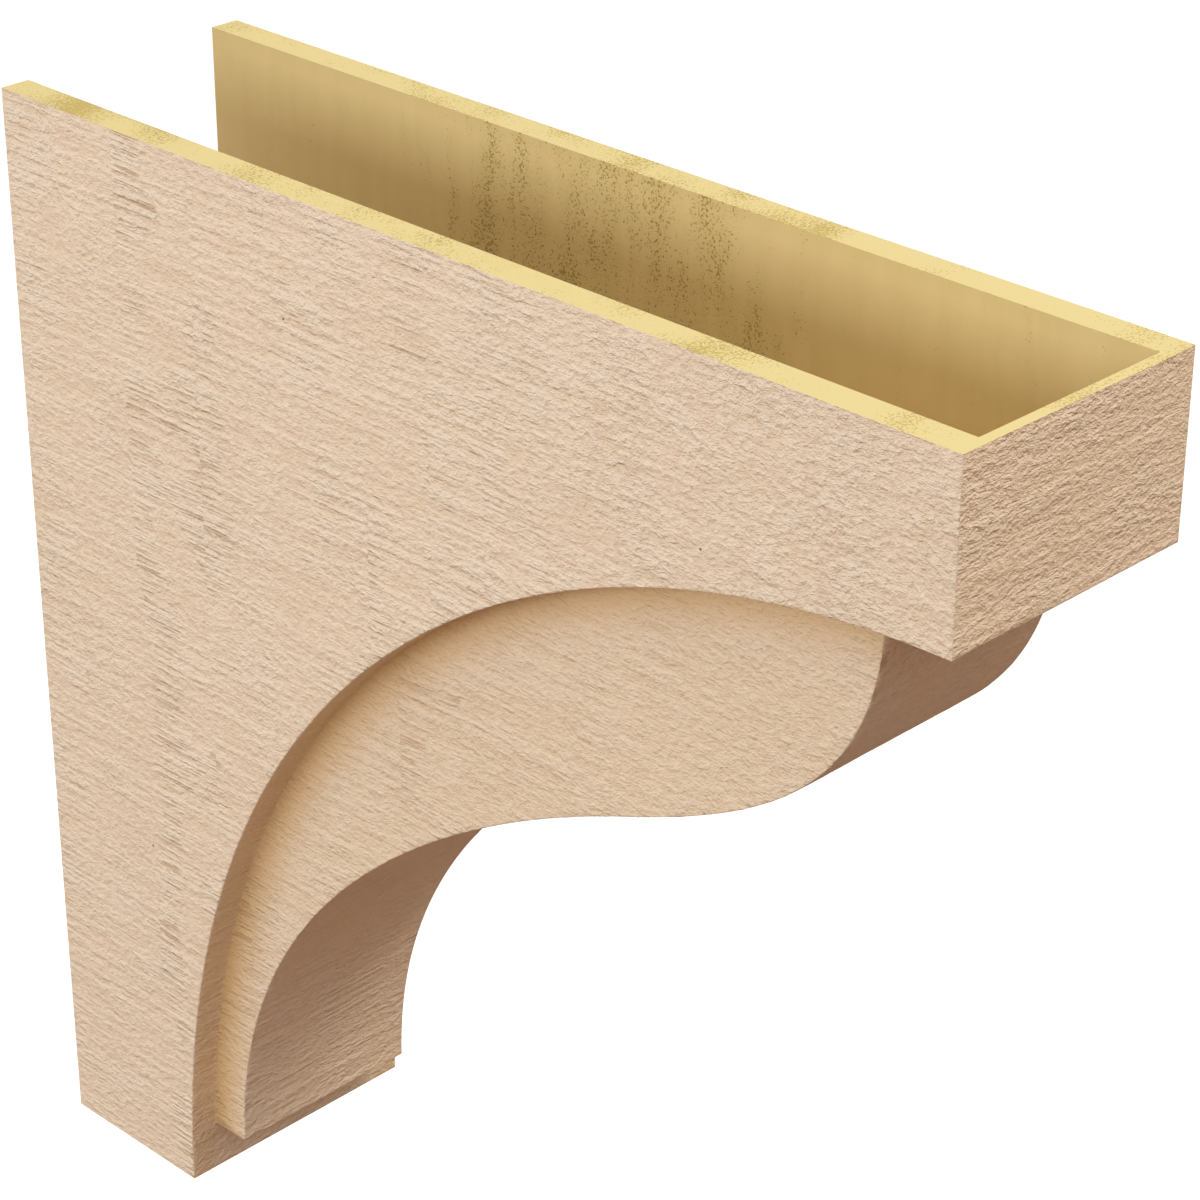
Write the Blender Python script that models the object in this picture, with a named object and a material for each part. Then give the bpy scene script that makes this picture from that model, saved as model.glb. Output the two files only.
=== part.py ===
"""Hollow corbel moulded in rigid urethane foam, with a rough-sawn timber face.

X runs across the width, -Y away from the wall and +Z up. The back lies in the plane Y = 0. The origin is on
the back edge of the closed foot, in the middle of the width: the lowest place where the shell meets the wall.
Outlines are drawn seen from the side, as (depth, height): depth from the wall, height above the foot.
"""
from math import cos, radians, sin

import bmesh
import bpy
from mathutils import Vector
from mathutils.geometry import interpolate_bezier

# Overall size
HEIGHT = 0.6096
PROJECTION = 0.6096
WIDTH = 0.1524

# Walls of the hollow shell
CHEEK_WALL = 0.0171
FRONT_WALL = 0.0064
ARCH_WALL = 0.0171
FOOT_WALL = 0.0171

# The quarter arch cut out below the cheeks: upright at the foot, level at the front
LEG_DEPTH = 0.1016
FRONT_FACE_HEIGHT = 0.0914
ARCH_HANDLE_UP = 0.3078
ARCH_HANDLE_BACK = 0.2774

# The scrolled block under the arch: a hollow sweep below, a full round nose above
BLOCK_INSET = CHEEK_WALL
BLOCK_FOOT_HEIGHT = 0.0300
BLOCK_FOOT_DEPTH = 0.1268
SWEEP_HANDLE_UP = 0.1542
TURN_DEPTH = 0.4134
TURN_HEIGHT = 0.3572
TURN_SLOPE = radians(21.4)
TURN_HANDLE_BACK = 0.1598
TURN_HANDLE_FORWARD = 0.1004
NOSE_DEPTH = 0.5612
NOSE_HANDLE_DOWN = 0.0856
BLOCK_ROOT_DEPTH = 0.0500
BLOCK_ROOT_RISE = 0.0050

# Chords in each curve, and how far the cutter for the hollow runs past the top and the back
CURVE_STEPS = 72
CUTTER_EXCESS = 0.0200

# Finish: primed face, warm tan
FACE_COLOUR = (0.72, 0.55, 0.40, 1.0)
FACE_ROUGHNESS = 0.8
SHARP_ANGLE = radians(30)


def clear_scene():
    for item in list(bpy.data.objects):
        bpy.data.objects.remove(item, do_unlink=True)


def curve_points(start, start_handle, end_handle, end):
    """Points of one smooth curve in the side view, both of its ends included."""
    knots = [Vector((depth, height, 0.0)) for depth, height in (start, start_handle, end_handle, end)]
    return [(point.x, point.y) for point in interpolate_bezier(*knots, CURVE_STEPS + 1)]


def arch_curve():
    """The underside of the cheeks, from the foot up to the front face."""
    spring = HEIGHT - FRONT_FACE_HEIGHT
    return curve_points((LEG_DEPTH, 0.0), (LEG_DEPTH, ARCH_HANDLE_UP),
                        (PROJECTION - ARCH_HANDLE_BACK, spring), (PROJECTION, spring))


def offset_curve(points, distance):
    """The same curve moved towards the wall and the top by a wall's thickness."""
    moved = []
    last = len(points) - 1
    for index, (depth, height) in enumerate(points):
        before = Vector(points[max(index - 1, 0)])
        after = Vector(points[min(index + 1, last)])
        along = (after - before).normalized()
        moved.append((depth - along.y * distance, height + along.x * distance))
    return moved


def shell_outline():
    """The cheek seen from the side."""
    return [(0.0, 0.0)] + arch_curve() + [(PROJECTION, HEIGHT), (0.0, HEIGHT)]


def block_outline():
    """The scrolled block, rooted inside the cheeks' outline."""
    spring = HEIGHT - FRONT_FACE_HEIGHT
    foot = (BLOCK_FOOT_DEPTH, BLOCK_FOOT_HEIGHT)
    turn = (TURN_DEPTH, TURN_HEIGHT)
    nose = (NOSE_DEPTH, spring)
    run = cos(TURN_SLOPE)
    rise = sin(TURN_SLOPE)
    sweep = curve_points(foot, (BLOCK_FOOT_DEPTH, BLOCK_FOOT_HEIGHT + SWEEP_HANDLE_UP),
                         (TURN_DEPTH - TURN_HANDLE_BACK * run, TURN_HEIGHT - TURN_HANDLE_BACK * rise), turn)
    round_nose = curve_points(turn, (TURN_DEPTH + TURN_HANDLE_FORWARD * run,
                                     TURN_HEIGHT + TURN_HANDLE_FORWARD * rise),
                              (NOSE_DEPTH, spring - NOSE_HANDLE_DOWN), nose)
    root_top = spring + BLOCK_ROOT_RISE
    root = [(NOSE_DEPTH, root_top), (BLOCK_ROOT_DEPTH, root_top), (BLOCK_ROOT_DEPTH, BLOCK_FOOT_HEIGHT)]
    return sweep + round_nose[1:] + root


def hollow_outline():
    """The hollow seen from the side, running out through the back and the top."""
    floor = offset_curve(arch_curve(), ARCH_WALL)
    top = HEIGHT + CUTTER_EXCESS
    return [(-CUTTER_EXCESS, 0.0)] + floor + [(PROJECTION, top), (-CUTTER_EXCESS, top)]


def trim_profile(mesh, depth_limit, height_limit):
    """Cuts a flat side view back to the front wall and the floor of the foot."""
    for point, outward in (((0.0, -depth_limit, 0.0), (0.0, -1.0, 0.0)),
                           ((0.0, 0.0, height_limit), (0.0, 0.0, -1.0))):
        everything = mesh.verts[:] + mesh.edges[:] + mesh.faces[:]
        bmesh.ops.bisect_plane(mesh, geom=everything, plane_co=point, plane_no=outward, clear_outer=True)


def side_view_solid(name, outline, half_width, limits=None):
    """A solid of one side view, carried across the width between -half_width and +half_width."""
    mesh = bmesh.new()
    corners = [mesh.verts.new((-half_width, -depth, height)) for depth, height in outline]
    mesh.faces.new(corners)
    if limits:
        trim_profile(mesh, *limits)
    grown = bmesh.ops.extrude_face_region(mesh, geom=mesh.faces[:])
    moved = [item for item in grown["geom"] if isinstance(item, bmesh.types.BMVert)]
    bmesh.ops.translate(mesh, verts=moved, vec=(2.0 * half_width, 0.0, 0.0))
    bmesh.ops.recalc_face_normals(mesh, faces=mesh.faces[:])
    data = bpy.data.meshes.new(name)
    mesh.to_mesh(data)
    mesh.free()
    solid = bpy.data.objects.new(name, data)
    bpy.context.scene.collection.objects.link(solid)
    return solid


def shape_with(solid, tool, operation):
    """Joins or cuts with a second solid, which stays in the scene as a hidden guide."""
    tool.hide_render = True
    tool.display_type = "WIRE"
    modifier = solid.modifiers.new(tool.name, "BOOLEAN")
    modifier.operation = operation
    modifier.object = tool
    modifier.solver = "EXACT"


def primed_foam():
    material = bpy.data.materials.new("primed_foam")
    material.use_nodes = True
    shader = material.node_tree.nodes["Principled BSDF"]
    shader.inputs["Base Color"].default_value = FACE_COLOUR
    shader.inputs["Roughness"].default_value = FACE_ROUGHNESS
    shader.inputs["Metallic"].default_value = 0.0
    return material


def make_shell():
    """One casting: the cheeks and front, the scrolled block, and the hollow cut out of both."""
    inner_half_width = WIDTH / 2 - CHEEK_WALL
    shell = side_view_solid("corbel_shell", shell_outline(), WIDTH / 2)
    block = side_view_solid("block_guide", block_outline(), WIDTH / 2 - BLOCK_INSET)
    hollow = side_view_solid("hollow_cutter", hollow_outline(), inner_half_width,
                             (PROJECTION - FRONT_WALL, FOOT_WALL))
    shape_with(shell, block, "UNION")
    shape_with(shell, hollow, "DIFFERENCE")
    shell.data.materials.append(primed_foam())
    shell.data.shade_smooth()
    shell.data.set_sharp_from_angle(angle=SHARP_ANGLE)
    for item in (shell, block, hollow):
        item.location.z = -FOOT_WALL / 2


clear_scene()
make_shell()
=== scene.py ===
# %% [markdown]
# # A hollow corbel with a rough-sawn timber face
#
# A corbel is a bracket that looks as if it carries a shelf or a beam. This one is a single casting of rigid
# urethane foam, poured in a mould that was taken from rough-sawn timber. It is hollow: open at the top, so
# that a beam can lie in it, and open at the back, so that it slips over a block on the wall. The faces that
# touched the mould are sealed with a tan primer. The rim and the inside are bare yellow foam.
#
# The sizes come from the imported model, which is loaded first and stays where it is. Everything here is in
# metres: X across the width, -Y out from the wall, +Z up.

# %% Load the fixed frame
from math import cos, radians, sin

import bmesh
import bpy
from mathutils import Matrix, Vector, kdtree, noise


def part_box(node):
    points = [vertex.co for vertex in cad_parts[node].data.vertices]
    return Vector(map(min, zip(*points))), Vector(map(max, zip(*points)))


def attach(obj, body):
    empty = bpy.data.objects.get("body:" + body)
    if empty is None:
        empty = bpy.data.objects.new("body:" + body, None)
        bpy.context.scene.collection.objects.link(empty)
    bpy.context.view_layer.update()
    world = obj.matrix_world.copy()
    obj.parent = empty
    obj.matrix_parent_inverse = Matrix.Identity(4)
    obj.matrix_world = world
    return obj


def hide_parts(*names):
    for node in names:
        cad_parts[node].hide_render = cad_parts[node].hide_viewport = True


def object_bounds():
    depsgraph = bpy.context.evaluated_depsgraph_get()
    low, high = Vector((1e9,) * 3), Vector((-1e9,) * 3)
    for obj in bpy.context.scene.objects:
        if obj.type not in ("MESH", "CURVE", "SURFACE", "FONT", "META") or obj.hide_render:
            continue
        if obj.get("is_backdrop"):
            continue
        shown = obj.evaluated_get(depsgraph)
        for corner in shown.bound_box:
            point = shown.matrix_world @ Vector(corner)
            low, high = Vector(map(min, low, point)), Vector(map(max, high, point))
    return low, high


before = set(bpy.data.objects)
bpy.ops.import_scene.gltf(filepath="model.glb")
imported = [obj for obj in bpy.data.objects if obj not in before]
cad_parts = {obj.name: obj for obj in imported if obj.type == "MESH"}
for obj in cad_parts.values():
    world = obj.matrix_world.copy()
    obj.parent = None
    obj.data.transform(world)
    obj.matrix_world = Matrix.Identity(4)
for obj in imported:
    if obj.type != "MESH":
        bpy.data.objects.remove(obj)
cad_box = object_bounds()

MM = 0.001
NODE = "corbel_shell"
low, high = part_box(NODE)
size = high - low
print("width, projection and height in mm:", [round(side / MM, 1) for side in size])

# %% [markdown]
# ## The camera
#
# The picture was taken with a long lens from the front left, looking down a little. A camera is easiest to
# place by the point it looks at, its direction and its distance. The small roll levels it as the picture is.

# %% Camera
AIM = Vector((0.0, -0.3399, 0.4125))
AZIMUTH = radians(-45.71)
ELEVATION = radians(27.28)
DISTANCE = 1.6505
ROLL = radians(0.22)
LENS_MM = 105.06
SENSOR_MM = 36.0

back = Vector((sin(AZIMUTH) * cos(ELEVATION), -cos(AZIMUTH) * cos(ELEVATION), sin(ELEVATION)))
camera_data = bpy.data.cameras.new("camera")
camera_data.lens = LENS_MM
camera_data.sensor_width = SENSOR_MM
camera = bpy.data.objects.new("camera", camera_data)
bpy.context.scene.collection.objects.link(camera)
camera.rotation_mode = "QUATERNION"
levelled = Matrix.Rotation(ROLL, 3, "Z").to_quaternion()
camera.rotation_quaternion = (-back).to_track_quat("-Z", "Y") @ levelled
camera.location = AIM + back * DISTANCE
bpy.context.scene.camera = camera
print("camera at", [round(value, 3) for value in camera.location])

# %% [markdown]
# ## Colours
#
# Paint and foam colours are easiest to read as the hex values that a colour picker shows. Blender's shaders
# work in linear light, so one function turns each hex value into linear numbers by the standard sRGB curve.
# Half of 255 is only a fifth of full light, which is why a picked colour looks washed out if it isn't turned.

# %% Colour helper


def colour(hex_value):
    """An sRGB hex colour as linear red, green, blue and alpha."""
    channels = [int(hex_value[place:place + 2], 16) / 255 for place in (1, 3, 5)]
    return tuple(c / 12.92 if c <= 0.04045 else ((c + 0.055) / 1.055) ** 2.4 for c in channels) + (1.0,)


print("the middle grey #808080 in linear light:", round(colour("#808080")[0], 3))

# %% [markdown]
# ## Shader nodes
#
# A shader is a small net of nodes. One helper is enough to build it: it adds a node, gives it its settings,
# fills each input with a value or with the output of another node, and hands back one output to work on
# with. Two settings come up again and again, a soft step between two values and a mix of two colours.

# %% Node helper
SOFT = {"interpolation_type": "SMOOTHSTEP"}
COLOURS = {"data_type": "RGBA"}


def add_node(tree, kind, inputs, output=0, **settings):
    """Adds one node and returns one output; inputs go by place in a list, or by name or number in a dict."""
    node = tree.nodes.new("ShaderNode" + kind)
    for name, value in settings.items():
        setattr(node, name, value)
    for name, value in inputs.items() if isinstance(inputs, dict) else enumerate(inputs):
        if isinstance(value, bpy.types.NodeSocket):
            tree.links.new(value, node.inputs[name])
        else:
            node.inputs[name].default_value = value
    return None if output is None else node.outputs[output]


print("a soft step is a MapRange node with", SOFT, "and a mix of colours a Mix node with", COLOURS)

# %% [markdown]
# ## The floor
#
# The corbel hangs on a wall at about the height of a worktop, so the floor lies well below it: one large
# square of pale matt paint. It sends no light back up, so that the shade under the corbel stays deep.

# %% Floor
FLOOR_DROP = 1.0
FLOOR_SIZE = 40.0
FLOOR_PAINT = "#fbfbfa"

floor_mesh = bmesh.new()
bmesh.ops.create_grid(floor_mesh, x_segments=1, y_segments=1, size=FLOOR_SIZE / 2)
bmesh.ops.translate(floor_mesh, verts=floor_mesh.verts, vec=(0.0, 0.0, low.z - FLOOR_DROP))
floor_data = bpy.data.meshes.new("floor")
floor_mesh.to_mesh(floor_data)
floor_mesh.free()
floor = bpy.data.objects.new("floor", floor_data)
bpy.context.scene.collection.objects.link(floor)
floor_paint = bpy.data.materials.new("pale_floor_paint")
floor_paint.use_nodes = True
floor_shader = floor_paint.node_tree.nodes["Principled BSDF"]
floor_shader.inputs["Base Color"].default_value = colour(FLOOR_PAINT)
floor_shader.inputs["Roughness"].default_value = 0.9
floor_data.materials.append(floor_paint)
floor.visible_diffuse = False
floor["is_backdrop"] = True
print("floor at height", round(low.z - FLOOR_DROP, 3))

# %% [markdown]
# ## The light
#
# The corbel stands in a pale studio. Its ceiling is bright, and only a little warm light comes from below, so
# that the shade turns brown rather than grey. Here the studio is the world around the scene, whose brightness
# rises with the direction that a ray takes. The camera itself sees a plain pale backdrop in its place.

# %% Studio walls
DARK_BELOW = (0.290, 0.148, 0.077, 1.0)
BRIGHT_ABOVE = (1.32, 1.32, 1.34, 1.0)
DARK_UP_TO = 0.15
BRIGHT_FROM = 0.75
BACKDROP = "#f6f5f3"

world = bpy.data.worlds.new("studio")
bpy.context.scene.world = world
world.use_nodes = True
tree = world.node_tree
tree.nodes.clear()
direction = add_node(tree, "TexCoord", [], "Generated")
upward = add_node(tree, "SeparateXYZ", [direction], "Z")
rising = add_node(tree, "MapRange", [upward, DARK_UP_TO, BRIGHT_FROM], **SOFT)
walls = add_node(tree, "Mix", {0: rising, 6: DARK_BELOW, 7: BRIGHT_ABOVE}, 2, **COLOURS)
seen = add_node(tree, "LightPath", [], "Is Camera Ray")
studio = add_node(tree, "Mix", {0: seen, 6: walls, 7: colour(BACKDROP)}, 2, **COLOURS)
light = add_node(tree, "Background", [studio, 1.0])
add_node(tree, "OutputWorld", [light], None)
bpy.context.scene.view_settings.view_transform = "Standard"
print("studio walls of", len(tree.nodes), "nodes")

# %% [markdown]
# ## The softboxes
#
# A softbox is a lamp behind a large white cloth, and an area light does the same. Two stand on the left, a
# little cool: one squarely to the cheek, and one behind it that brings out the grain. The third is a little
# warm and hangs high in front, so it lights the rim and leaves everything under the front box in shade.

# %% Softboxes
SOFTBOX_WIDTH = 2.4
SOFTBOX_HEIGHT = 0.7
COOL_WHITE = "#ebf5ff"
WARM_WHITE = "#fffaf2"


def softbox(name, place, power, tint):
    """A wide, low box of light that faces the corbel and isn't seen itself."""
    data = bpy.data.lights.new(name, "AREA")
    data.shape = "RECTANGLE"
    data.size = SOFTBOX_WIDTH
    data.size_y = SOFTBOX_HEIGHT
    data.energy = power
    data.color = colour(tint)[:3]
    lamp = bpy.data.objects.new(name, data)
    bpy.context.scene.collection.objects.link(lamp)
    lamp.location = place
    lamp.rotation_mode = "QUATERNION"
    lamp.rotation_quaternion = (AIM - Vector(place)).to_track_quat("-Z", "Y")
    lamp.visible_camera = False
    print(name, "at", place, "with", power, "watts")


softbox("softbox_left", (-2.3, -0.55, 1.10), 30.8, COOL_WHITE)
softbox("softbox_left_back", (-2.5, 1.9, 1.10), 25.0, COOL_WHITE)
softbox("softbox_front", (1.0, -2.0, 3.2), 66.0, WARM_WHITE)

# %% [markdown]
# ## The moulding, as whole faces
#
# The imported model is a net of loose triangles. A copy of it is merged, and triangles that lie in one plane
# are dissolved into one face each. That gives back the clean form, with one outline for a cheek, which is
# what the next steps cut up evenly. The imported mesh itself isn't touched.

# %% Copy the form
SAME_PLACE = 0.01 * MM
SAME_PLANE = radians(0.2)

moulding = bmesh.new()
moulding.from_mesh(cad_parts[NODE].data)
bmesh.ops.remove_doubles(moulding, verts=moulding.verts, dist=SAME_PLACE)
bmesh.ops.dissolve_limit(moulding, angle_limit=SAME_PLANE, verts=moulding.verts, edges=moulding.edges)
print("whole faces:", len(moulding.faces), "closed:", all(edge.is_manifold for edge in moulding.edges))

# %% [markdown]
# ## Which faces touched the mould
#
# Bare foam shows where the casting was trimmed: the top rim, the back edges and the hollow. Everything else
# took the mould's rough-sawn grain, which runs out from the wall on the cheeks and across the width on the
# front and the underside. Each face is marked with its finish now, while there are few of them.

# %% Mark the faces
GRAIN_OUT, GRAIN_ACROSS, BARE = 0, 1, 2
WALL_THICKNESS = 17.1 * MM
FRONT_THICKNESS = 6.4 * MM
NEAR = 0.2 * MM
FACING = 0.5
HARDLY_UP = 0.01


def in_hollow(centre):
    """True for a face of the hollow, which lies inside the walls and above the arch's wall."""
    return (abs(centre.x) < high.x - WALL_THICKNESS + NEAR and centre.y > low.y + FRONT_THICKNESS - NEAR
            and centre.z > low.z + WALL_THICKNESS - NEAR)


def finish_of(face):
    """Bare foam where the face was trimmed or lies in the hollow, and otherwise the way its grain runs."""
    centre = face.calc_center_median()
    normal = face.normal
    sideways = abs(normal.x) > FACING
    if centre.z > high.z - NEAR or centre.y > high.y - NEAR:
        return BARE
    if in_hollow(centre):
        floor_of_hollow = normal.z > HARDLY_UP and not sideways
        back_of_front = normal.y > FACING
        inner_cheek = sideways and normal.x * centre.x < 0
        if floor_of_hollow or back_of_front or inner_cheek:
            return BARE
    return GRAIN_OUT if sideways else GRAIN_ACROSS


for face in moulding.faces:
    face.material_index = finish_of(face)
for label, finish in (("grain out", GRAIN_OUT), ("grain across", GRAIN_ACROSS), ("bare foam", BARE)):
    print(label, "on", sum(face.material_index == finish for face in moulding.faces), "faces")

# %% [markdown]
# ## Soft arrises
#
# A mould rounds its corners a little, and paint fills them further, so each arris between two moulded faces
# gets a bevel about a millimetre wide. It catches the light as a thin pale line. The rim and the back were
# cut with a saw, so their edges stay sharp.

# %% Arrises
ARRIS_WIDTH = 1.0 * MM
ARRIS_ANGLE = radians(40)


def is_moulded(face):
    """True for a face that took the mould's grain."""
    return face.material_index != BARE


arrises = [edge for edge in moulding.edges
           if edge.calc_face_angle() > ARRIS_ANGLE and all(is_moulded(face) for face in edge.link_faces)]
bmesh.ops.bevel(moulding, geom=arrises, affect="EDGES", offset_type="OFFSET", offset=ARRIS_WIDTH, segments=2,
                profile=0.5, material=-1, clamp_overlap=True)
print("arris edges:", len(arrises), "faces now:", len(moulding.faces),
      "closed:", all(edge.is_manifold for edge in moulding.edges))

# %% [markdown]
# ## Cutting the faces evenly
#
# The grain is real relief, so the mesh needs points to move. Parallel cuts give even cells on any outline,
# and the cells are long with the grain and narrow across it, because that is how the relief changes. On the
# front and underside the narrow cuts go by height where a face is steep and by depth where it is level. Only
# the moulded faces are cut: the rim and the hollow stay as they are.

# %% Even cuts
ACROSS, OUT, UP = 0, 1, 2
CELL_NARROW = 1.9 * MM
CELL_LONG = 4.6 * MM
CUT_TOLERANCE = 0.002 * MM
LEVEL = 0.7


def cut_evenly(faces, axis, spacing):
    """Cuts the given faces with evenly spaced planes across one axis, and returns the faces it leaves."""
    count = round(size[axis] / spacing)
    step = size[axis] / count
    direction = Vector((0.0, 0.0, 0.0))
    direction[axis] = 1.0
    waiting = list(faces)
    finished = []
    for index in range(1, count):
        place = low[axis] + index * step
        still_waiting = []
        cut = []
        for face in waiting:
            reach = [vert.co[axis] for vert in face.verts]
            if max(reach) < place + CUT_TOLERANCE:
                finished.append(face)
            elif min(reach) > place - CUT_TOLERANCE:
                still_waiting.append(face)
            else:
                cut.append(face)
        if cut:
            edges = {edge for face in cut for edge in face.edges}
            verts = {vert for face in cut for vert in face.verts}
            made = bmesh.ops.bisect_plane(moulding, geom=list(verts) + list(edges) + cut, dist=CUT_TOLERANCE,
                                          plane_co=direction * place, plane_no=direction)
            still_waiting += [item for item in made["geom"] if isinstance(item, bmesh.types.BMFace)]
        waiting = still_waiting
    return finished + waiting


def faces_with(finish):
    """The faces of the moulding that have this finish."""
    return [face for face in moulding.faces if face.material_index == finish]


fronts = cut_evenly(faces_with(GRAIN_ACROSS), ACROSS, CELL_LONG)
steep = [face for face in fronts if abs(face.normal.z) < LEVEL]
level = [face for face in fronts if abs(face.normal.z) >= LEVEL]
cut_evenly(steep, UP, CELL_NARROW)
cut_evenly(level, OUT, CELL_NARROW)
cheeks = cut_evenly(faces_with(GRAIN_OUT), UP, CELL_NARROW)
cut_evenly(cheeks, OUT, CELL_LONG)
print("cells:", len(moulding.faces), "triangles:", sum(len(face.verts) - 2 for face in moulding.faces),
      "closed:", all(edge.is_manifold for edge in moulding.edges))

# %% [markdown]
# ## Every point on its board
#
# The paint needs to know how the grain runs over each face, as if the face were a flat board: so far along
# the grain, so far across it. These coordinates are stored in millimetres. The way across wanders a little,
# because no grain is perfectly straight. On the curved faces it is measured well enough by height plus depth.

# %% Board coordinates
WANDER_SIZE = 70 * MM
WANDER_MM = 2.0


def on_board(point, finish):
    """Millimetres along the grain, across it and through the board."""
    x, depth, height = point.x / MM, -point.y / MM, point.z / MM
    if finish == GRAIN_OUT:
        return Vector((depth, height, x))
    return Vector((x, depth + height, 0.0))


board = moulding.loops.layers.float_vector.new("board_mm")
for vert in moulding.verts:
    wander = Vector((0.0, noise.noise(vert.co / WANDER_SIZE) * WANDER_MM, 0.0))
    for loop in vert.link_loops:
        loop[board] = on_board(vert.co, loop.face.material_index) + wander
print("corners placed on a board:", sum(len(face.verts) for face in moulding.faces))

# %% [markdown]
# ## Torn wood and lumpy wood
#
# Sawn wood isn't rough everywhere alike. It tears in patches and in upright bands where the blade chattered,
# and on this moulding it gets lumpier towards the front. Noise of the right size gives the patches, and noise
# squeezed along the depth gives the bands. Both numbers run from 0 to 1.

# %% How rough each point is
PATCH_SIZE = 32 * MM
PATCH_SHIFT = Vector((3.1, 8.2, 5.7))
PATCH_SHARE = 0.6
CHATTER_SIZE = (400 * MM, 22 * MM, 240 * MM)
CHATTER_SHARE = 0.5
TORN_FROM, TORN_TO = -0.22, 0.24
LUMPY_FROM, LUMPY_TO = 0.30, 0.58


def soft_step(value, start, end):
    """0 below the start, 1 above the end, and a smooth rise between them."""
    share = min(max((value - start) / (end - start), 0.0), 1.0)
    return share * share * (3.0 - 2.0 * share)


def sawn_look(point):
    """How torn and how lumpy the wood is at this point."""
    patch = noise.noise(point / PATCH_SIZE + PATCH_SHIFT)
    chatter = noise.noise(Vector([place / span for place, span in zip(point, CHATTER_SIZE)]))
    torn = soft_step(PATCH_SHARE * patch + CHATTER_SHARE * chatter, TORN_FROM, TORN_TO)
    return torn, soft_step(-point.y, LUMPY_FROM, LUMPY_TO)


print("torn points:", sum(sawn_look(vert.co)[0] > 0.5 for vert in moulding.verts))

# %% [markdown]
# ## Finer sawing and painted shade
#
# On the sides of the block, which sit back from the cheeks, the sawing was finer. In the corner under the arch
# the primer gets a yellowish painted shade, which stands for the shade of that corner and fades with the
# distance to the arch, which a tree of its points finds quickly. The strips of the arch beside the block,
# under the front box, get a little painted shade too. Each point keeps three numbers for all this: how torn,
# how lumpy, and how much painted shade it has.

# %% Finer sawing and painted shade
BLOCK_REACH = 70 * MM
STRIP_FROM = 60 * MM
FRONT_BOX_HEIGHT = 80 * MM
OFF_FRONT = 2 * MM
BLOCK_TORN, BLOCK_LUMPY = 0.7, 0.6
ACROSS_LUMPY = 0.7
# How far the painted shade in the corner reaches from the arch, how much of it fades there, and how much the
# strips get.
PAINTED_SHADE_REACH = 30 * MM
PAINTED_SHADE_FADE = 0.85
STRIP_PAINTED_SHADE = 0.35


def touches(vert, finish):
    """True where a face with this finish meets the point."""
    return any(face.material_index == finish for face in vert.link_faces)


arch = [vert.co for vert in moulding.verts if abs(vert.co.x) > high.x - SAME_PLACE - ARRIS_WIDTH
        and touches(vert, GRAIN_ACROSS) and low.z + NEAR < vert.co.z < high.z - FRONT_BOX_HEIGHT]
arch_line = kdtree.KDTree(len(arch))
for index, point in enumerate(arch):
    arch_line.insert((0.0, point.y, point.z), index)
arch_line.balance()

surface = moulding.verts.layers.float_vector.new("surface")
for vert in moulding.verts:
    point = vert.co
    torn, lumpy = sawn_look(point)
    painted_shade = 0.0
    if abs(point.x) < BLOCK_REACH and touches(vert, GRAIN_OUT):
        torn *= BLOCK_TORN
        lumpy *= BLOCK_LUMPY
        to_arch = arch_line.find((0.0, point.y, point.z))[2]
        # Painted shade in the corner under the arch, strongest at the arch and fading away from it.
        painted_shade = 1.0 - PAINTED_SHADE_FADE * soft_step(to_arch, 0.0, PAINTED_SHADE_REACH)
    elif touches(vert, GRAIN_ACROSS):
        lumpy *= ACROSS_LUMPY
        under_box = point.z < high.z - FRONT_BOX_HEIGHT and point.y > low.y + OFF_FRONT
        # Painted shade on the arch's strips under the front box.
        if abs(point.x) > STRIP_FROM and under_box:
            painted_shade = STRIP_PAINTED_SHADE
    vert[surface] = (torn, lumpy, painted_shade)
print("points on the arch:", len(arch))

# %% [markdown]
# ## The sawn relief
#
# The mould copied what a saw leaves on timber: a slow swell where the board isn't quite flat, long folds and
# fibres that follow the grain, and lumps where it tore. Each is a noise of its own size, stretched with the
# grain. The sum pushes every point in from the face, never out, so the casting keeps its outer sizes.
# Points on an arris all move in by the same small depth, which keeps the corners straight. Below, a pair of
# sizes is with the grain and across it, and a pair of depths is in calm wood and what lumpy wood adds to it,
# all in millimetres.

# %% Sawn relief
DEEPEST = 1.2 * MM
ARRIS_DEPTH = 0.5 * MM
ARRIS_SPREAD = radians(8)
EDGE_SHARP = radians(50)
MEAN_DEPTH_MM = 0.50
SWELL_MM, SWELL_DEPTH_MM = (90, 60), 0.12
FOLD_MM, FOLD_DEPTH_MM = (110, 10), (0.06, 0.44)
FIBRE_MM, FIBRE_DEPTH_MM = (30, 5.5), (0.10, 0.05)
LUMP_MM, LUMP_DEPTH_MM = (7, 4.4), (0.06, 0.14)
LUMP_SHIFT = Vector((70.0, 20.0, 40.0))
ON_CHEEK_LUMPY = 0.5
ACROSS_LEAST_LUMPY = 0.4


def board_noise(place, with_grain, across_grain):
    """Noise on the board with features of these sizes in millimetres."""
    return noise.noise(Vector((place.x / with_grain, place.y / across_grain, place.z / across_grain)))


def sawn_depth(place, torn, lumpy):
    """How far below the face the relief lies at this place on its board."""
    fold_depth, fibre_depth, lump_depth = [
        calm + more * lumpy for calm, more in (FOLD_DEPTH_MM, FIBRE_DEPTH_MM, LUMP_DEPTH_MM)]
    depth = MEAN_DEPTH_MM + SWELL_DEPTH_MM * board_noise(place, *SWELL_MM)
    depth += fold_depth * board_noise(place, *FOLD_MM)
    depth += fibre_depth * board_noise(place, *FIBRE_MM)
    depth += lump_depth * (0.5 + 0.5 * torn) * board_noise(place + LUMP_SHIFT, *LUMP_MM)
    return min(max(depth * MM, 0.0), DEEPEST)


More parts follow.
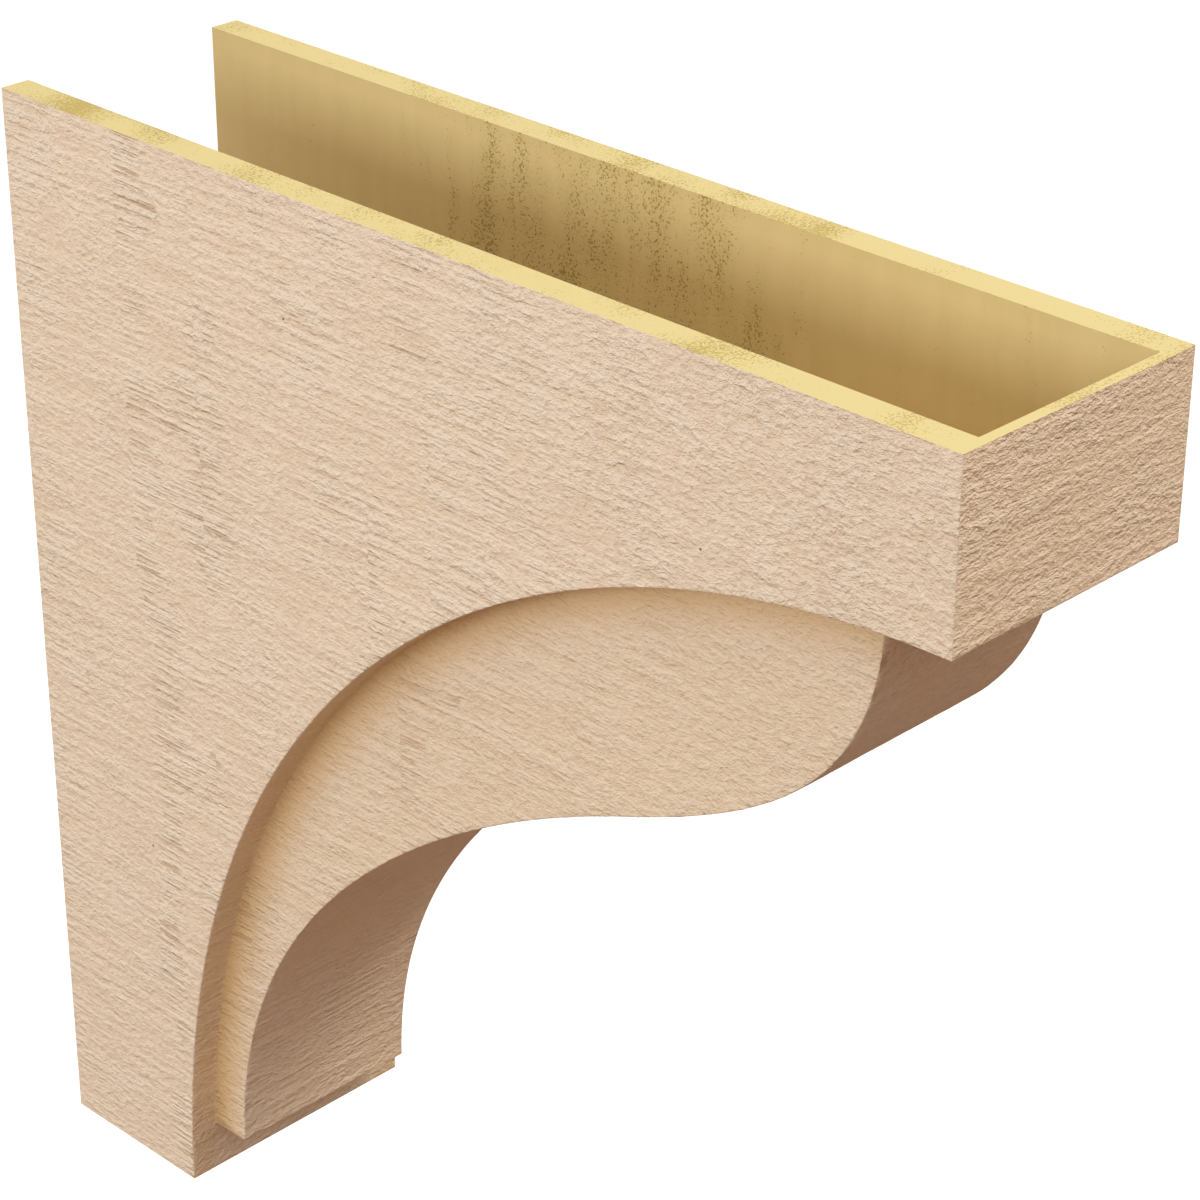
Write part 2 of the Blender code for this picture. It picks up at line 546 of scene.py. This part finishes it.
for edge in moulding.edges:
    edge.smooth = edge.calc_face_angle(0.0) < EDGE_SHARP
moves = {}
for vert in moulding.verts:
    rough = [face for face in vert.link_faces if is_moulded(face)]
    if rough:
        normal = sum((face.normal for face in rough), Vector()).normalized()
        torn, lumpy = vert[surface][:2]
        on_cheek = normal.x ** 2
        if min(normal.dot(face.normal) for face in rough) < cos(ARRIS_SPREAD):
            depth = ARRIS_DEPTH
        else:
            lumps_out = ON_CHEEK_LUMPY * lumpy
            lumps_across = ACROSS_LEAST_LUMPY + (1.0 - ACROSS_LEAST_LUMPY) * lumpy
            depth = on_cheek * sawn_depth(on_board(vert.co, GRAIN_OUT), torn, lumps_out)
            depth += (1.0 - on_cheek) * sawn_depth(on_board(vert.co, GRAIN_ACROSS), torn, lumps_across)
        moves[vert] = normal * -depth
for vert, move in moves.items():
    vert.co += move
deepest = max(move.length for move in moves.values())
print("points moved:", len(moves), "deepest in mm:", round(deepest / MM, 2))

# %% [markdown]
# ## The finest grain
#
# What the eye sees as wood is mostly finer than the mesh, so the rest of the grain is a height for the
# shader's bump, laid on the board coordinates. It has a rough grain of a few millimetres with finer grain on
# it, thin flakes with sharp edges, long straight lines, and shorter strokes. The blade cut in short pushes,
# so the strokes stop at upright lines and start again elsewhere. Where the wood ripped, the strokes are
# deeper and leave thin dark tears. In the lumpy wood at the front the strokes fade and the rough grain takes
# over. Each pattern's size is with the grain and across it. Its depth is a share of the bump's height, from
# calm to torn wood, or from the wall to the front.

# %% Grain for the bump
PUSH_MM = 42
PUSH_SHIFT_MM = 80
STROKE_MM = (85, 3.8)
LINE_MM = (170, 5.2)
GRAIN_MM = (4.8, 3.6)
FLAKE_MM = (24, 9)
STROKE_DEPTH = (0.12, 0.54)
LINE_DEPTH = (0.17, 0.04)
GRAIN_DEPTH = (0.82, 1.10)
TORN_GRAIN = 0.24
FLAKE_DEPTH = (0.03, 0.09)
STROKE_LEDGE = 0.24
LINE_EDGE = 0.30
TEAR_DEPTH = -0.22


def fine_grain(tree, torn, lumpy):
    """The height of the fine grain, where 1 is BUMP_HEIGHT, and how much of each place is a tear."""
    on_face = add_node(tree, "Attribute", [], "Vector", attribute_name="board_mm")
    along = add_node(tree, "SeparateXYZ", [on_face], 0)
    push = add_node(tree, "TexVoronoi", {"W": along, "Scale": 1 / PUSH_MM}, "Color", voronoi_dimensions="1D")
    apart = (0.0, PUSH_SHIFT_MM, 0.0)
    shifted = add_node(tree, "VectorMath", [push, apart, on_face], operation="MULTIPLY_ADD")
    patterns = []
    for place, (with_grain, across_grain), finer, rough in (
            (shifted, STROKE_MM, 1.0, 0.5), (on_face, LINE_MM, 1.0, 0.5),
            (on_face, GRAIN_MM, 3.0, 0.7), (on_face, FLAKE_MM, 2.0, 0.5)):
        scale = (1 / with_grain, 1 / across_grain, 1 / across_grain)
        laid = add_node(tree, "Mapping", {"Vector": place, "Scale": scale})
        settings = {"Vector": laid, "Scale": 1.0, "Detail": finer, "Roughness": rough}
        spots = add_node(tree, "TexNoise", settings)
        patterns.append(add_node(tree, "Math", [spots, 0.5], operation="SUBTRACT"))
    strokes, lines, grain, flaky = patterns

    force = add_node(tree, "SeparateXYZ", [push], 0)
    forced = add_node(tree, "MapRange", [force, 0.3, 0.9], **SOFT)
    ripped = add_node(tree, "Math", [torn, forced], operation="MULTIPLY")
    stringy = add_node(tree, "MapRange", [lumpy, 0.0, 0.8, 1.0, 0.2])
    stroke_depth = add_node(tree, "MapRange", [ripped, 0.0, 1.0, *STROKE_DEPTH])
    stroke_depth = add_node(tree, "Math", [stroke_depth, stringy], operation="MULTIPLY")
    ledge = add_node(tree, "MapRange", [strokes, -0.035, 0.035, 0.0, STROKE_LEDGE], **SOFT)
    ledges = add_node(tree, "Math", [strokes, ledge], operation="ADD")
    line_edge = add_node(tree, "MapRange", [lines, 0.03, 0.06, 0.0, LINE_EDGE], **SOFT)
    long_lines = add_node(tree, "Math", [lines, line_edge], operation="ADD")
    line_depth = add_node(tree, "MapRange", [lumpy, 0.0, 1.0, *LINE_DEPTH])

    lower_flake = add_node(tree, "MapRange", [flaky, -0.11, -0.08], **SOFT)
    upper_flake = add_node(tree, "MapRange", [flaky, 0.04, 0.07], **SOFT)
    flakes = add_node(tree, "Math", [lower_flake, upper_flake], operation="ADD")
    flake_depth = add_node(tree, "MapRange", [torn, 0.0, 1.0, *FLAKE_DEPTH])
    calm_depth = add_node(tree, "MapRange", [lumpy, 0.0, 1.0, *GRAIN_DEPTH])
    grain_depth = add_node(tree, "Math", [torn, TORN_GRAIN, calm_depth], operation="MULTIPLY_ADD")

    deep_stroke = add_node(tree, "MapRange", [strokes, 0.125, 0.165], **SOFT)
    much_ripped = add_node(tree, "MapRange", [ripped, 0.45, 0.8], **SOFT)
    tears = add_node(tree, "Math", [deep_stroke, much_ripped], operation="MULTIPLY")
    tears = add_node(tree, "Math", [tears, stringy], operation="MULTIPLY")
    height = add_node(tree, "Math", [grain, grain_depth], operation="MULTIPLY")
    for pattern, depth in ((flakes, flake_depth), (ledges, stroke_depth), (long_lines, line_depth),
                           (tears, TEAR_DEPTH)):
        height = add_node(tree, "Math", [pattern, depth, height], operation="MULTIPLY_ADD")
    return height, tears


print("grain across the board every", GRAIN_MM[1], "mm, and strokes every", STROKE_MM[1], "mm")

# %% [markdown]
# ## Tan primer
#
# The primer is a matt acrylic paint, sprayed on thinly, so it keeps the sawn grain and hardly shines. Its
# roughness is high for that, and its IOR is that of most paints. It is one warm tan, with light and shade
# painted on it: painted shade makes the grooves a little darker than the ridges and the tears brown, a
# yellowish painted shade lies in the corner under the arch, and three small pits on the left cheek are
# painted dark as their shade.

# %% Primer
BUMP_HEIGHT = 2.4 * MM
PAINTED_GROOVE_SHADE = "#dbc5a8"
PAINTED_RIDGE_LIGHT = "#e3d1b7"
PAINTED_SHADE_TINT = "#d8b785"
PAINTED_TEAR_SHADE = "#b8926a"
TEAR_SHADE_SHARE = 0.55
PITS = [(-0.2075, 0.5390), (-0.0831, 0.2003), (-0.4727, 0.5125)]
PIT_X = low.x + 0.5 * MM
PIT_RADIUS = 0.9 * MM
PAINTED_PIT_SHADE = "#7d6248"


def sawn_primer():
    """Tan primer over the grain of sawn timber, with painted shade in the grooves, tears, pits and corner."""
    paint = bpy.data.materials.new("tan_primer_on_sawn_grain")
    paint.use_nodes = True
    tree = paint.node_tree
    marks = add_node(tree, "Attribute", [], "Vector", attribute_name="surface")
    torn, lumpy, painted_shade = [add_node(tree, "SeparateXYZ", [marks], part) for part in range(3)]
    height, tears = fine_grain(tree, torn, lumpy)
    bump = add_node(tree, "Bump", {"Height": height, "Distance": BUMP_HEIGHT})
    # Painted shade and light: by the height of the grain the grooves are painted darker and the ridges paler.
    ridge_light = add_node(tree, "MapRange", [height, -0.12, 0.28], **SOFT)
    tear_shade = add_node(tree, "Math", [tears, TEAR_SHADE_SHARE], operation="MULTIPLY")
    tan = add_node(tree, "Mix", {0: ridge_light, 6: colour(PAINTED_GROOVE_SHADE), 7: colour(PAINTED_RIDGE_LIGHT)}, 2, **COLOURS)
    # Painted shade in the corner under the arch and on the arch's strips, in a yellowish tan.
    tan = add_node(tree, "Mix", {0: painted_shade, 6: tan, 7: colour(PAINTED_SHADE_TINT)}, 2, **COLOURS)
    # Painted shade in the tears: their creases are coloured brown.
    tan = add_node(tree, "Mix", {0: tear_shade, 6: tan, 7: colour(PAINTED_TEAR_SHADE)}, 2, **COLOURS)
    place = add_node(tree, "TexCoord", [], "Object")
    # Painted shade in three pits, which are dark discs with no depth of their own.
    for pit_y, pit_z in PITS:
        away = add_node(tree, "VectorMath", [place, (PIT_X, pit_y, pit_z)], "Value", operation="DISTANCE")
        in_pit = add_node(tree, "MapRange", [away, PIT_RADIUS, 0.5 * PIT_RADIUS], **SOFT)
        tan = add_node(tree, "Mix", {0: in_pit, 6: tan, 7: colour(PAINTED_PIT_SHADE)}, 2, **COLOURS)
    shader = tree.nodes["Principled BSDF"]
    tree.links.new(tan, shader.inputs["Base Color"])
    tree.links.new(bump, shader.inputs["Normal"])
    shader.inputs["Roughness"].default_value = 0.85
    shader.inputs["Specular IOR Level"].default_value = 0.25
    return paint


primer = sawn_primer()
print("primer material:", primer.name, "with", len(primer.node_tree.nodes), "nodes")

# %% [markdown]
# ## Bare urethane foam
#
# Where no mould or paint touched it, the foam shows its own pale yellow, and it is as dull as chalk. It has
# darker specks, which are bubbles cut open by the saw. They crowd together in the middle of the hollow, in
# faint upright streaks where the foam rose as it set, and the foam is a little browner there. A bubble is
# drawn just over a millimetre wide, coarser than most real ones, so that it shows at all. The rim has fewer
# and is mottled in patches instead.

# %% Foam
BUBBLE = 1.25 * MM
CROWD = 14 * MM
STREAK = 11 * MM
PATCH = 45 * MM
STRETCH_UP = 4.0
CROWD_STARTS = (-0.13, -0.22)
CROWD_ENDS = (-0.45, -0.33)
MIDDLE_CROWD = 0.30
CROWD_WEIGHT = 0.66
PATCH_WEIGHT = 1.1
RIM_BUBBLES = 0.4
DARKEST_STAIN = 0.4
BUBBLE_DEPTH = 0.2 * MM
INSIDE_DULL, INSIDE_PALE, INSIDE_BROWN = "#c7b078", "#ccb57e", "#bea76c"
RIM_PALE, RIM_MOTTLE = "#bfaf7a", "#a69357"
BUBBLE_SHADE = "#98803f"


def bare_foam():
    """Rigid urethane foam as it sets: pale yellow, with clusters of small open bubbles."""
    foam = bpy.data.materials.new("bare_urethane_foam")
    foam.use_nodes = True
    tree = foam.node_tree
    place = add_node(tree, "TexCoord", [], "Object")
    stretched = add_node(tree, "Mapping", {"Vector": place, "Scale": (1.0, 1.0, 1 / STRETCH_UP)})
    crowds, streaks, cells, patches = [
        add_node(tree, "TexNoise", {"Vector": where, "Scale": 1 / width, "Detail": finer, "Roughness": 0.55})
        for where, width, finer in (
            (stretched, CROWD, 2.0), (stretched, STREAK, 3.0), (place, BUBBLE, 1.0), (place, PATCH, 1.0))]

    depth, above = [add_node(tree, "SeparateXYZ", [place], axis) for axis in (1, 2)]
    past_back = add_node(tree, "MapRange", [depth, *CROWD_STARTS], **SOFT)
    before_front = add_node(tree, "MapRange", [depth, *CROWD_ENDS], **SOFT)
    middle = add_node(tree, "Math", [past_back, before_front], operation="MULTIPLY")
    crowd = add_node(tree, "Math", [middle, MIDDLE_CROWD, crowds], operation="MULTIPLY_ADD")
    bubbles = add_node(tree, "Math", [crowd, CROWD_WEIGHT, cells], operation="MULTIPLY_ADD")
    on_rim = add_node(tree, "MapRange", [above, high.z - NEAR, high.z], **SOFT)
    shown = add_node(tree, "MapRange", [on_rim, 0.0, 1.0, 1.0, RIM_BUBBLES])
    burst = add_node(tree, "MapRange", [bubbles, 1.07, 1.31], **SOFT)
    opened = add_node(tree, "Math", [burst, shown], operation="MULTIPLY")

    pale = add_node(tree, "MapRange", [streaks, 0.2, 0.8], **SOFT)
    stain = add_node(tree, "MapRange", [crowd, 0.55, 0.95, 0.0, DARKEST_STAIN], **SOFT)
    patchy = add_node(tree, "Math", [patches, PATCH_WEIGHT, cells], operation="MULTIPLY_ADD")
    mottle = add_node(tree, "MapRange", [patchy, 1.14, 1.26], **SOFT)
    inside = add_node(tree, "Mix", {0: pale, 6: colour(INSIDE_DULL), 7: colour(INSIDE_PALE)}, 2, **COLOURS)
    inside = add_node(tree, "Mix", {0: stain, 6: inside, 7: colour(INSIDE_BROWN)}, 2, **COLOURS)
    rim = add_node(tree, "Mix", {0: mottle, 6: colour(RIM_PALE), 7: colour(RIM_MOTTLE)}, 2, **COLOURS)
    sawn = add_node(tree, "Mix", {0: on_rim, 6: inside, 7: rim}, 2, **COLOURS)
    speckled = add_node(tree, "Mix", {0: opened, 6: sawn, 7: colour(BUBBLE_SHADE)}, 2, **COLOURS)
    bump = add_node(tree, "Bump", {"Height": opened, "Distance": BUBBLE_DEPTH}, invert=True)
    shader = tree.nodes["Principled BSDF"]
    tree.links.new(speckled, shader.inputs["Base Color"])
    tree.links.new(bump, shader.inputs["Normal"])
    shader.inputs["Roughness"].default_value = 0.9
    shader.inputs["Specular IOR Level"].default_value = 0.2
    return foam


foam = bare_foam()
print("foam material:", foam.name, "with", len(foam.node_tree.nodes), "nodes")

# %% [markdown]
# ## The finished casting
#
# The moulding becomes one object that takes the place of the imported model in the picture. Its paint and
# its foam follow the finish that was marked on each face.

# %% Casting
PRIMED_SLOT, FOAM_SLOT = 0, 1

casting_data = bpy.data.meshes.new("corbel_casting")
for face in moulding.faces:
    face.smooth = True
    face.material_index = PRIMED_SLOT if is_moulded(face) else FOAM_SLOT
moulding.to_mesh(casting_data)
moulding.free()
for material in (primer, foam):
    casting_data.materials.append(material)
casting = bpy.data.objects.new("corbel_casting", casting_data)
bpy.context.scene.collection.objects.link(casting)
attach(casting, "root")
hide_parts("corbel_shell")
print("casting polygons:", len(casting_data.polygons))

# %% [markdown]
# ## Sizes at the end
#
# Detail mustn't change the size of the thing. The box of the imported model, kept at the start, and the box of
# the finished casting are held against each other, and the largest difference is printed. They may differ by
# no more than the relief is deep.

# %% Sizes
finished_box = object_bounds()
differences = [abs(packed - finished) for before, after in zip(cad_box, finished_box)
               for packed, finished in zip(before, after)]
print("largest difference between the two boxes in mm:", round(max(differences) / MM, 2))
